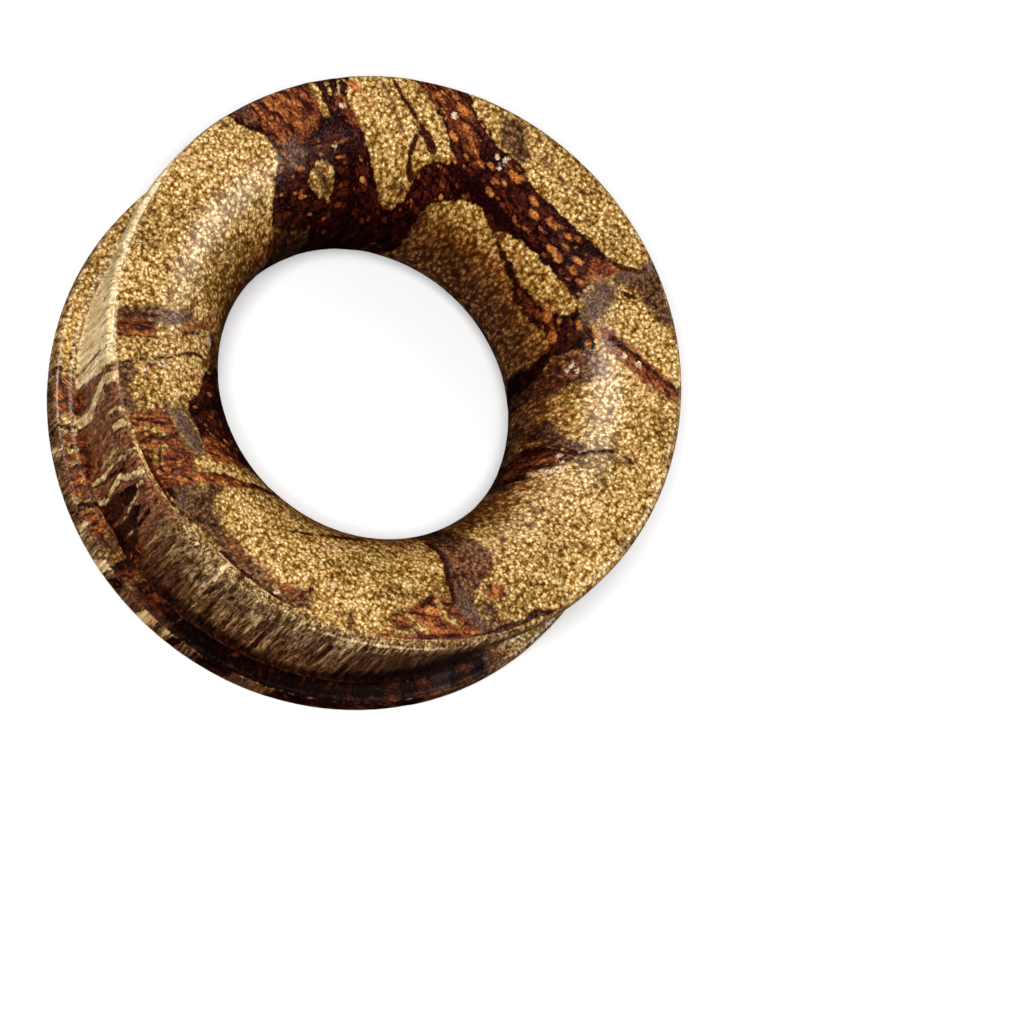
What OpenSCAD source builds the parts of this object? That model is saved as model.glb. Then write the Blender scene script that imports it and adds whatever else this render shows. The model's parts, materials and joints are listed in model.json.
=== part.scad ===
// Wooden flesh tunnel: one turned hoop of figured hardwood, worn in a stretched ear lobe.
// Millimetres. The hoop lies flat: the origin is the middle of its lower face, +Z runs up the bore.

/* [Ring] */
// Outer diameter of the two flanges
flange_d = 27.6; // [27:0.1:32]
// Diameter of the groove that the ear sits in, the wearer's gauge
groove_d = 25.4; // [24:0.1:26]
// Height from face to face
height = 10.8; // [10.2:0.1:16]
// Thickness of each flange
flange_t = 1.6; // [1.1:0.1:3]

/* [Bore] */
// Diameter of the bore at its narrowest
throat_d = 14.7; // [10:0.1:16]
// Radius of the curve that opens the bore out to each face
bell_r = 4.9; // [3:0.1:5.1]

/* [Edges] */
// Rounding of each flange's outer rim
rim_round = 0.45; // [0.1:0.05:0.8]
// Rounding of each flange's edge beside the groove
lip_round = 0.25; // [0.05:0.05:0.3]
// Fillet where the groove meets a flange
fillet_r = 0.5; // [0.1:0.05:0.55]

/* [Hidden] */
flange_r = flange_d / 2;
groove_r = groove_d / 2;
throat_r = throat_d / 2;
wood_colour = [0.64, 0.46, 0.24];
// How far a cutting or filling shape runs past the surface it works on
lap = 0.5;
$fn = 180;

// A square corner less the quarter disc centred on the origin. It lies towards +X and +Y.
module corner(r) {
    difference() {
        square(r + lap);
        circle(r);
    }
}

// Draws its children at the lower end and mirrored at the upper end
module at_both_ends() {
    children();
    translate([0, height]) mirror([0, 1]) children();
}

// The lower flange with its two rounded edges
module flange_section() {
    difference() {
        translate([throat_r, 0]) square([flange_r - throat_r, flange_t]);
        translate([flange_r - rim_round, rim_round]) rotate(-90) corner(rim_round);
        translate([flange_r - lip_round, flange_t - lip_round]) corner(lip_round);
    }
}

// The fillet between the lower flange and the groove's wall
module fillet_section() {
    translate([groove_r + fillet_r, flange_t + fillet_r]) rotate(180) corner(fillet_r);
}

// What the lower bell mouth takes away, between the throat and the flat part of the face
module bell_section() {
    translate([throat_r + bell_r, bell_r]) rotate(180) corner(bell_r);
}

// Half of the hoop's cross-section, at positive radius
module hoop_section() {
    difference() {
        union() {
            translate([throat_r, 0]) square([groove_r - throat_r, height]);
            at_both_ends() {
                flange_section();
                fillet_section();
            }
        }
        at_both_ends() bell_section();
    }
}

module tunnel() {
    color(wood_colour) rotate_extrude() hoop_section();
}

tunnel();
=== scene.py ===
"""Looks of the turned wooden tunnel.

One closed mesh, turned from the same profile as the solid, stands for it. The figure of the wood is charted
in millimetres: a plan chart (x, y) for everything seen from above, and charts of the outside (angle,
height) for its wall and its lower flange. Each mark is an area or a stroke, and each kind of mark becomes a
distance field on the mesh's points, which the material turns into crisp, slightly ragged edges. Cells and
fibres are procedural.
"""

import json
import math
from types import SimpleNamespace

import bpy
import numpy as np
from mathutils import Matrix, Vector


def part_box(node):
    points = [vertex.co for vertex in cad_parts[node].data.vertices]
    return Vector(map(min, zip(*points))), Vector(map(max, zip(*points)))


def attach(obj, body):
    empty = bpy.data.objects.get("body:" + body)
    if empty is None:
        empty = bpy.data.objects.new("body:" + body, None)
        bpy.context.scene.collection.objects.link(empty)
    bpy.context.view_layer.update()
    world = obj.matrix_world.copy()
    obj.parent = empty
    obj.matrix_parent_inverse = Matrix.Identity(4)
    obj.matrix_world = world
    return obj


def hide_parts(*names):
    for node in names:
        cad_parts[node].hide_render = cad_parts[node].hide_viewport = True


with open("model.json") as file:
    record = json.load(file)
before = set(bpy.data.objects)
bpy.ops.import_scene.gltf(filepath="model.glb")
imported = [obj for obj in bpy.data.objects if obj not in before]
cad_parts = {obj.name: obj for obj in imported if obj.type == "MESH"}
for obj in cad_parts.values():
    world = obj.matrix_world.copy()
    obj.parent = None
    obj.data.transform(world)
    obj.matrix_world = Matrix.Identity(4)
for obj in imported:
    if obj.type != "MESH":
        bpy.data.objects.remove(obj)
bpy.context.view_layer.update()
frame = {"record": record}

MM = 0.001

# Sizes of the ring in millimetres, from the frame
low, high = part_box("tunnel")
mounts = {m["name"]: m for m in frame["record"]["mounts"]}
height = (high.z - low.z) / MM
flange_r = (high.x - low.x) / 2 / MM
groove_r = mounts["ear_groove"]["dims"]["r_mm"]
throat_r = mounts["throat"]["dims"]["r_mm"]
land = mounts["throat"]["dims"]["length_mm"]
flange_t = (height - mounts["ear_groove"]["dims"]["length_mm"]) / 2
bell_r = (height - land) / 2

# Roundings of the rims, of the edges beside the groove and of the groove's corners
rim_round = 0.45
lip_round = 0.25
fillet_r = 0.5

# Points round the ring
N_ROUND = 576


def line(r0, z0, r1, z1, steps):
    t = np.arange(steps) / steps
    return [(r0 + (r1 - r0) * k, z0 + (z1 - z0) * k) for k in t]


def arc(r, z, radius, start, end, steps):
    angles = np.radians(start + (end - start) * np.arange(steps) / steps)
    return [(r + radius * math.cos(a), z + radius * math.sin(a)) for a in angles]


def profile():
    """The closed section of the hoop as (r, z) rows, from the throat up, over and down the outside.

    Each part ends with its number of steps, more of them where the figure is seen from near.
    """
    bell_c = throat_r + bell_r
    rim_c = flange_r - rim_round
    lip_c = flange_r - lip_round
    foot_r = groove_r + fillet_r
    top = height - flange_t
    rows = []
    rows += line(throat_r, bell_r, throat_r, height - bell_r, 5)
    rows += arc(bell_c, height - bell_r, bell_r, 180, 90, 62)
    rows += line(bell_c, height, rim_c, height, 9)
    rows += arc(rim_c, height - rim_round, rim_round, 90, 0, 6)
    rows += line(flange_r, height - rim_round, flange_r, top + lip_round, 7)
    rows += arc(lip_c, top + lip_round, lip_round, 0, -90, 3)
    rows += line(lip_c, top, foot_r, top, 3)
    rows += arc(foot_r, top - fillet_r, fillet_r, 90, 180, 5)
    rows += line(groove_r, top - fillet_r, groove_r, flange_t + fillet_r, 19)
    rows += arc(foot_r, flange_t + fillet_r, fillet_r, 180, 270, 5)
    rows += line(foot_r, flange_t, lip_c, flange_t, 3)
    rows += arc(lip_c, flange_t - lip_round, lip_round, 90, 0, 3)
    rows += line(flange_r, flange_t - lip_round, flange_r, rim_round, 6)
    rows += arc(rim_c, rim_round, rim_round, 0, -90, 6)
    rows += line(rim_c, 0, bell_c, 0, 6)
    rows += arc(bell_c, bell_r, bell_r, 270, 180, 25)
    return np.array(rows)


def upper_z(r):
    """Height of the upper surface at radius r."""
    bell = np.sqrt(np.clip(bell_r**2 - (throat_r + bell_r - r) ** 2, 0, None))
    rim = np.sqrt(np.clip(rim_round**2 - (r - flange_r + rim_round) ** 2, 0, None))
    z = np.where(r < throat_r + bell_r, height - bell_r + bell, height)
    return np.where(r > flange_r - rim_round, height - rim_round + rim, z)


def smooth(x, start, end):
    t = np.clip((x - start) / (end - start), 0, 1)
    return t * t * (3 - 2 * t)


def between(x, limits):
    """1 between the inner two of four limits, 0 beyond the outer two."""
    return smooth(x, limits[0], limits[1]) * (1 - smooth(x, limits[2], limits[3]))


# Marks of a chart. An area is an outline; a stroke is a line of (x, y, half width), and one point is a spot.
# A gap is an area that is cut out of the marks before it, and a clear is a stroke cut out of them.
def area(*points):
    return ("area", 1, points)


def gap(*points):
    return ("area", -1, points)


def stroke(*points):
    return ("stroke", 1, points)


def clear(*points):
    return ("stroke", -1, points)


def spots(*points):
    return [stroke(p) for p in points]


# Direction that the cells of the dark bands are drawn out in: centre x, y and degrees
FLOW = [
    (-12, 5, -5), (-9, 4, 60), (-7, 7, -18), (-7, 11, -8), (0, 10.3, 0), (0, 8, -8), (4.5, 7.5, -35),
    (8, 9, 5), (9.5, 4.5, 33), (8, 2.5, 60), (8.5, -4.3, -35), (10, -8, 42), (4, -8, 45), (-2.2, -9.4, 18),
    (-0.5, -9, 42), (-4.4, -11.8, 50), (-2, -11, 40), (-7, -8, 50), (-9.5, -8, 42), (-12, -3, 0),
    (12, -2, 0), (4.5, 11.5, 40), (4, 9.8, 10),
]


def flecks(*points):
    """Short strokes, each given as x, y and size, drawn out along the band they lie in."""
    marks = []
    for x, y, size in points:
        angle = math.radians(min(FLOW, key=lambda f: math.hypot(x - f[0], y - f[1]))[2])
        dx, dy = 0.9 * size * math.cos(angle), 0.9 * size * math.sin(angle)
        marks.append(stroke((x - dx, y - dy, 0.5 * size), (x, y, 0.8 * size), (x + dx, y + dy, 0.6 * size)))
    return marks


# A field's value far from every mark, and the limit it is stored with, in millimetres
FAR = 3.0
FIELD_LIMIT = 1


def stroke_field(px, py, points):
    """Distance inside a stroke, in millimetres: positive within it."""
    if len(points) == 1:
        x, y, w = points[0]
        return w - np.hypot(px - x, py - y)
    field = np.full(px.shape, -FAR)
    for (x0, y0, w0), (x1, y1, w1) in zip(points, points[1:]):
        dx, dy = x1 - x0, y1 - y0
        t = np.clip(((px - x0) * dx + (py - y0) * dy) / (dx * dx + dy * dy), 0, 1)
        field = np.maximum(field, w0 + (w1 - w0) * t - np.hypot(px - x0 - t * dx, py - y0 - t * dy))
    return field


def area_field(px, py, points):
    """Distance inside an outline, in millimetres: positive within it."""
    inside = np.zeros(px.shape, bool)
    distance = np.full(px.shape, FAR)
    for (x0, y0), (x1, y1) in zip(points, points[1:] + points[:1]):
        dx, dy = x1 - x0, y1 - y0
        t = np.clip(((px - x0) * dx + (py - y0) * dy) / (dx * dx + dy * dy), 0, 1)
        distance = np.minimum(distance, np.hypot(px - x0 - t * dx, py - y0 - t * dy))
        if y0 != y1:
            inside ^= ((y0 > py) != (y1 > py)) & (px < x0 + (py - y0) * dx / (y1 - y0))
    return np.where(inside, distance, -distance)


def chart_field(px, py, marks):
    """The field of a list of marks, taken in order: later ones are laid over or cut out of earlier ones."""
    field = np.full(px.shape, -FAR)
    for kind, sign, points in marks:
        one = (area_field if kind == "area" else stroke_field)(px, py, points)
        field = np.maximum(field, one) if sign > 0 else np.minimum(field, -one)
    return np.clip(field, -FIELD_LIMIT, FIELD_LIMIT)


# A brown patch beside the throat, cut out of the dark band there
THROAT_PATCH = ((-8.3, 0.9), (-7.7, 1.7), (-7.2, 2.7), (-6.8, 2.6), (-7.1, 1.4), (-7.5, 0.4))

# Plan chart in millimetres, seen from above
PLAN = {}
PLAN["dark"] = [
    area((-13.9, 2.45), (-13, 2.4), (-12.4, 2.6), (-12, 2.9), (-11.3, 3), (-10.9, 2.9), (-10.4, 2.7),
         (-10.1, 2.4), (-9.9, 2), (-9.5, 1.7), (-9.1, 1.3), (-8.6, 1), (-8.2, 0.7), (-7.8, 0.4),
         (-6.5, 0.1), (-4.5, 3.5), (-3.6, 5.9), (-4.2, 7), (-4.1, 7.4), (-3.8, 7.9), (-3.3, 8.5),
         (-2.8, 8.75), (-2, 8.8), (-1.3, 8.6), (-0.5, 8.35), (0.2, 8.15), (0.9, 7.95), (1.4, 7.7),
         (2.1, 7.55), (2.8, 7.4), (3.8, 7.2), (4.4, 6.9), (4.4, 6.1), (4.2, 6), (3.8, 5.4), (4.6, 4.8),
         (5, 5.4), (5, 6.1), (4.8, 6.7), (5.2, 7.3), (5.7, 7.6), (5.9, 7.9), (5.4, 8.3), (4.7, 8.6),
         (4.2, 8.6), (3.7, 9), (3.6, 9.6), (3.8, 10.3), (3.6, 11), (3.2, 11.25), (2, 11.25), (1, 11.15),
         (0, 11.1), (-1.5, 11.05), (-2.2, 11.3), (-3, 11.35), (-4, 11.1), (-4.9, 11.5), (-5.5, 11.4),
         (-6.1, 11.6), (-6.6, 12.2), (-9.2, 10.9), (-8.9, 10.5), (-8.2, 10.35), (-7.4, 10.2), (-6.5, 9.95),
         (-5.7, 9.6), (-5, 9.3), (-4.9, 8.9), (-5.5, 8.5), (-5.7, 7.8), (-5.4, 7.1), (-5.1, 6.6),
         (-5.2, 6.1), (-5.7, 5.8), (-6.4, 5.9), (-7, 6.1), (-7.6, 6.35), (-8.2, 6.55), (-8.9, 6.8),
         (-9.5, 7), (-10.1, 7.2), (-10.6, 7.55), (-11.2, 8.3), (-12.8, 6.5)),
    area((7, 3), (7.6, 3.3), (8.3, 3.5), (8.9, 3.65), (8.9, 3.2), (8.7, 2.75), (8.2, 2.3), (7.95, 2),
         (8.1, 1.5), (7.7, 1.1), (7.2, 0.9), (6.6, 1)),
    area((-5.9, -6.2), (-5.6, -6.9), (-5.3, -7.5), (-5.1, -8.2), (-5.2, -8.8), (-4.8, -9.3), (-4.2, -9.4),
         (-3.7, -9.7), (-3, -9.9), (-2.3, -9.9), (-2.1, -9.3), (-1.8, -8.9), (-1.2, -8.5), (-0.5, -8.2),
         (0.5, -8), (0.4, -7), (-4.5, -5)),
    gap((-1.1, 8.8), (-0.6, 9), (0.1, 9.15), (0.9, 9.2), (1.6, 9.2), (2.4, 9.1), (3, 9.05), (3.7, 8.9),
        (4, 8.6), (3.8, 8.2), (3.4, 8.05), (2.8, 7.95), (2.3, 7.95), (1.7, 8.05), (1, 8.2), (0.3, 8.35),
        (-0.3, 8.5), (-0.9, 8.65)),
    stroke((-4.7, -12.4, 0.1), (-3.6, -12.6, 0.25), (-2.4, -12.8, 0.2)),
    clear((-12.6, 6.6, 0.15), (-12, 6.5, 0.2), (-11.3, 6.3, 0.22), (-10.4, 5.95, 0.18)),
    clear((-11.5, 7.08, 0.07), (-11, 6.85, 0.06)),
    gap(*THROAT_PATCH),
    gap((-9.2, 4.2), (-9, 4.5), (-8.5, 4.7), (-7.9, 4.3), (-7.5, 3.8), (-7.9, 3.5), (-8.4, 3.3),
        (-8.9, 3.5)),
]
PLAN["vein"] = [
    stroke((-9.5, 9.65, 0.06), (-8.9, 9.45, 0.1), (-8, 9.25, 0.12), (-7.2, 9.1, 0.1), (-6.6, 8.95, 0.15),
           (-5.9, 8.75, 0.2)),
    stroke((-7, 8.8, 0.1), (-6.6, 8, 0.12), (-6.2, 7.6, 0.12), (-5.7, 7.3, 0.15)),
    stroke((-1.9, 8.85, 0.1), (-1.1, 8.65, 0.06), (-0.4, 8.45, 0.05), (0.5, 8.2, 0.05)),
    stroke((3.3, 11.2, 0.08), (4, 11.4, 0.1), (4.7, 11.9, 0.1), (4.8, 12.2, 0.06)),
    stroke((5, 10.6, 0.15), (5.5, 10.85, 0.1)),
    stroke((7.2, 8.85, 0.14), (7.7, 8.85, 0.14)),
    stroke((7.4, 3.3, 0.05), (8.2, 3.55, 0.08), (8.9, 3.6, 0.06), (9.2, 4.1, 0.05),
           (9.7, 4.65, 0.05), (10.5, 4.95, 0.07), (11.1, 4.9, 0.04)),
    stroke((7, -4.4, 0.1), (7.7, -4.6, 0.1), (8.3, -5, 0.12), (8.9, -5.6, 0.15), (9.4, -6, 0.12),
           (9.8, -6.3, 0.1)),
    stroke((13.57, -2.4, 0.12), (13.4, -3, 0.14), (12.8, -3.8, 0.16), (12.7, -4.6, 0.16),
           (12.4, -5.1, 0.18), (12.2, -5.7, 0.16), (12.1, -6.2, 0.2), (11.7, -6.8, 0.16)),
    stroke((6.1, 8.7, 0.12), (6.9, 8.8, 0.14), (8, 8.8, 0.1), (9, 9, 0.08), (10.1, 9, 0.05)),
    stroke((-3, -12.9, 0.1), (-1.9, -13.2, 0.1), (-1.4, -13.1, 0.1), (-0.8, -13, 0.08), (0, -13.1, 0.08)),
    stroke((4.7, -6.7, 0.12), (4.3, -7.2, 0.1), (3.9, -7.7, 0.1), (3.5, -8.1, 0.1), (3.1, -8.7, 0.1),
           (2.6, -9.2, 0.08), (2, -9.8, 0.06)),
    stroke((4.9, -11, 0.12), (4.8, -11.7, 0.1)),
    stroke((0, -13.1, 0.08), (0.7, -13, 0.08), (1.5, -12.98, 0.1), (2.3, -12.9, 0.08), (3, -12.78, 0.1),
           (3.6, -12.7, 0.08), (4.2, -12.55, 0.1), (4.7, -12.47, 0.1), (5.2, -12.3, 0.12),
           (5.7, -12.1, 0.1)),
    stroke((0.9, -7.9, 0.1), (0, -8.7, 0.12), (-0.4, -9.1, 0.12), (-0.8, -9.5, 0.1), (-1.2, -9.8, 0.06)),
    stroke((-2.3, -10.8, 0.04), (-1.5, -10, 0.06), (-1.1, -9.7, 0.06)),
    stroke((-5.2, -12.6, 0.05), (-4.4, -11.8, 0.06), (-3.7, -12.4, 0.05)),
    stroke((-5.8, -12.1, 0.04), (-5, -11.2, 0.05), (-4.4, -11.7, 0.05)),
    stroke((-6, -6.3, 0.05), (-6.6, -6.7, 0.05), (-6.9, -7.3, 0.03), (-7.1, -7.8, 0.06), (-7.3, -8.2, 0.08),
           (-7.7, -8.7, 0.04), (-7.9, -9, 0.03), (-8.1, -9.3, 0.04), (-8.5, -9.9, 0.03),
           (-8.6, -10.3, 0.03)),
    stroke((-7, -5.6, 0.04), (-7.3, -6.1, 0.06), (-7.6, -6.6, 0.04)),
    stroke((-10.6, -8.9, 0.08), (-9.8, -8, 0.08), (-9, -7.1, 0.04)),
    stroke((-10.2, -9, 0.06), (-8.9, -7.6, 0.04)),
    stroke((-9.8, -9.4, 0.03), (-8.3, -7.9, 0.04)),
    stroke((-6.6, -11.9, 0.1), (-5.6, -12.4, 0.15), (-4.3, -12.8, 0.3), (-3.2, -12.9, 0.15),
           (-2, -13.2, 0.12)),
    stroke((11.3, -7.4, 0.1), (10.3, -8.7, 0.12), (9.6, -9.5, 0.14), (8.9, -10.2, 0.1)),
    stroke((9, -7, 0.15), (8.9, -7.6, 0.12)),
]
PLAN["brown"] = [
    stroke((-2.2, 12.3, 0.08), (-0.6, 12.3, 0.08)),
    stroke((5.3, 12.3, 0.5), (6.2, 11.7, 0.35), (7, 11.3, 0.3)),
    stroke((4.3, 11, 0.3), (5.2, 11.5, 0.4), (6.2, 11.3, 0.35), (7.2, 11.2, 0.3)),
    area((4.8, 6.7), (5.2, 7.3), (5.9, 7.9), (6.8, 7.8), (7.1, 7.2), (6.7, 6.6), (6.3, 5.9), (5.9, 5.3),
         (5.5, 4.9), (4.9, 4.4), (4.4, 4.6), (5, 5.4), (5, 6.1)),
    stroke((-8.9, 4, 0.2), (-8, 4, 0.25)),
    area(*THROAT_PATCH),
    stroke((-6.1, 6.5, 0.12), (-5.6, 6.8, 0.12)),
    area((4.2, -12.1), (4.5, -11.4), (5.1, -11.2), (5.6, -11.8), (5, -12.3)),
    stroke((7, -10.5, 0.15), (7.5, -11, 0.15)),
    stroke((2.2, -12.9, 0.2), (3.6, -12.6, 0.3), (4.9, -12.1, 0.3)),
    area((-4.9, 12.4), (-4.5, 12.6), (-4, 12.9), (-3.3, 12.5), (-2.6, 12), (-2.5, 11.4), (-3, 11.3),
         (-3.6, 11.3), (-4, 11.2), (-4.4, 11.8)),
    stroke((9.1, 3.4, 0.06), (9.5, 3.5, 0.06), (10, 3.8, 0.04)),
    stroke((7, 3.9, 0.5), (7.8, 3.7, 0.35), (8.7, 3.9, 0.25)),
    stroke((7.3, 1.1, 0.35), (7.7, 0.8, 0.25)),
    area((7, -2.85), (7.8, -2.85), (9, -3), (9.4, -3.1), (9.9, -3.5), (10, -3.9), (10.1, -4.5),
         (10.2, -5.1), (10.8, -5.7), (11.4, -5.9), (12.3, -5.9), (12.3, -6.6), (11.3, -6.7), (10.2, -6.5),
         (9.4, -6.05), (8.9, -5.6), (8.3, -5), (7.7, -4.6), (7, -4.4), (6.2, -4.2), (6.5, -2.9)),
    stroke((11, -5.3, 0.3), (12.2, -5.4, 0.3)),
    stroke((12.3, -5.5, 0.2), (11.4, -7, 0.25), (10.1, -8.7, 0.25), (9, -10, 0.2)),
    area((-3.2, -11.9), (-2, -11.5), (-1.2, -11.2), (-0.8, -11.9), (0.5, -12.1), (2, -12.05), (3.5, -12.2),
         (4.2, -12.4), (3.5, -12.7), (2, -12.9), (0, -13.05), (-1.5, -13.1), (-3, -12.9)),
    area((-1.9, -10.5), (-1.1, -10.6), (-1.1, -11.4), (-1.9, -11.6)),
    stroke((-5.8, -10, 0.15), (-4.9, -10.4, 0.15), (-4.2, -10.5, 0.15), (-3.4, -10.8, 0.2)),
    stroke((-5.5, -9.2, 0.1), (-4.9, -9.3, 0.1)),
    stroke((-6.6, -5, 0.2), (-5.9, -5.5, 0.3), (-5.5, -6.4, 0.3), (-5, -7, 0.35)),
    area((-8.2, -9.6), (-7.7, -9.9), (-7.5, -10.7), (-6.9, -11.05), (-6.1, -11.1), (-6.2, -11.7),
         (-7.2, -11.5), (-8, -11), (-8.8, -10.6), (-8.6, -10)),
    stroke((-8.1, -5.8, 0.3), (-8.3, -6.4, 0.35), (-9.1, -7, 0.4), (-9.6, -7.6, 0.4), (-10.1, -8.3, 0.45),
           (-10.4, -8.8, 0.4)),
    stroke((-9.8, 9.1, 0.05), (-9.3, 9, 0.05), (-8.8, 8.75, 0.05), (-8.2, 8.55, 0.05), (-7.5, 8.2, 0.04)),
]
PLAN["rust"] = [
    area((-13.9, 3.3), (-12.5, 3.3), (-11, 3.2), (-10.4, 3.5), (-10.2, 4.4), (-10.3, 5.3), (-11, 6),
         (-12.2, 6.6), (-13.2, 5.3)),
    stroke((-10.5, 7, 0.3), (-9.2, 6.75, 0.2)),
    stroke((-8.2, 10.8, 0.4), (-7.2, 10.9, 0.6), (-6.2, 10.8, 0.6), (-5.2, 10.4, 0.4), (-4.3, 10, 0.3)),
    area((9.1, -6.4), (8.9, -7), (8.7, -7.5), (8.7, -7.8), (8.6, -8.3), (8.3, -8.9), (8.3, -9.4),
         (8.6, -9.9), (8.3, -10.5), (8.6, -11.2), (11, -9), (12.6, -6.2), (11.4, -6.3), (10.4, -6.2)),
    clear((8.6, -8.4, 0.1), (9.3, -8.6, 0.16), (9.9, -8.3, 0.1)),
    clear((8.4, -9.5, 0.12), (9, -9.6, 0.2), (9.6, -9, 0.12)),
    clear((9.3, -6.9, 0.08), (10.1, -7.2, 0.14), (10.9, -6.9, 0.1)),
    clear((8.6, -10.6, 0.1), (9.3, -10.2, 0.14)),
    area((10.2, -4.5), (10.8, -4), (11.4, -4.2), (11.2, -4.6), (10.7, -5)),
    area((5.4, 8.9), (6.9, 9.1), (8, 9.1), (10.1, 9.3), (10.4, 8.7), (10, 8.5), (8.4, 8.2), (7.1, 8.2),
         (6, 8.2)),
    stroke((6.9, 1.6, 0.3), (7.5, 2.4, 0.3), (8.2, 2.9, 0.2), (8.7, 3.3, 0.1)),
    stroke((7.3, 1.5, 0.15), (7.9, 2, 0.1)),
    stroke((1.5, 7.85, 0.06), (2.3, 7.75, 0.08), (3.1, 7.65, 0.12), (3.9, 7.6, 0.15)),
    area((2.9, 10.7), (3.3, 11.2), (4, 11.4), (4.1, 10.9), (3.9, 10.4), (3.7, 9.9), (3.4, 9.6)),
    area((-10.3, -8.9), (-8.9, -7.4), (-8.6, -7.6), (-8.4, -8), (-9.7, -9.4), (-10, -9.2)),
    area((-8, -6.2), (-7.3, -5), (-6.9, -5.1), (-7.6, -6.5)),
    area((-6.6, -11.7), (-6.2, -10.9), (-5.6, -10.1), (-4.9, -10.2), (-4, -10.6), (-3.2, -10.6),
         (-2.6, -11.3), (-2.6, -12.2), (-3, -12.8), (-3.8, -13.1), (-4.8, -13), (-5.6, -12.6),
         (-6.2, -12.3)),
    area((-3.6, -9.6), (-3.3, -9), (-2.4, -8.7), (-1.5, -8.6), (-0.7, -8.3), (-1.6, -9.2), (-2.3, -9.8),
         (-3, -10.1)),
    area((-3.1, -11.9), (-2.7, -11.2), (-2.2, -10.6), (-1.4, -9.8), (-0.5, -9.2), (0.4, -8.5), (-0.4, -9.4),
         (-0.9, -10.1), (-1.6, -10.9), (-2.3, -11.6), (-2.7, -12.3)),
    gap((-5, -12.6), (-4.3, -11.8), (-3.9, -12.1), (-4.6, -12.9)),
    clear((-6.1, -12.1, 0.05), (-5.6, -11.4, 0.1), (-5.2, -11.2, 0.12), (-4.8, -11, 0.05)),
    clear((-5.2, -12.4, 0.06), (-4.6, -11.7, 0.1), (-4.3, -11.4, 0.04)),
    stroke((-7.5, -9.1, 0.25)),
    stroke((3.2, -12.2, 0.1), (4.4, -11.9, 0.2), (4.9, -11.6, 0.12)),
    stroke((0.8, -12.4, 0.1), (1.8, -12.5, 0.16)),
    stroke((-7.9, -5.9, 0.2), (-7.6, -6.6, 0.2)),
]
PLAN["grey"] = [
    area((-10.9, 3.5), (-10.6, 4.1), (-10, 4.1), (-9.6, 3.9), (-9.6, 3.3), (-9.9, 2.9), (-10.5, 3)),
    area((-5.6, -9.9), (-5.3, -9.4), (-4.4, -9.4), (-3.5, -9.5), (-3, -9.8), (-3, -10.3), (-3.5, -10.5),
         (-4.3, -10.3), (-4.9, -10.2)),
    stroke((-13.5, 3, 0.12), (-12.6, 3.15, 0.12)),
    area((3.9, 10.6), (4.7, 10.5), (4.9, 9.9), (5.1, 9.3), (5.1, 8.9), (4.6, 8.6), (4.2, 8.8), (3.8, 9.2),
         (3.7, 9.9)),
    stroke((4.4, 8.9, 0.2), (4.7, 8.4, 0.2)),
    stroke((5, 12.6, 0.35), (4.9, 12, 0.25), (4.6, 11.5, 0.2), (4.35, 10.9, 0.2)),
    stroke((7.2, 11.7, 0.25), (8, 11.4, 0.2)),
    stroke((8.83, 3.57, 0.12), (9.17, 4.03, 0.12), (9.57, 4.37, 0.1), (10, 4.63, 0.1), (10.5, 4.77, 0.08),
           (10.8, 4.87, 0.05)),
    stroke((9.6, -5.9, 0.35), (10.5, -6.1, 0.35), (11.5, -6.2, 0.25)),
    stroke((-4.1, -12.7, 0.2)),
    stroke((-2.2, -12.4, 0.3), (-1.9, -13, 0.3)),
    stroke((-9, -7.4, 0.1), (-8.4, -6.6, 0.16), (-7.8, -5.7, 0.08)),
]
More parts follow.
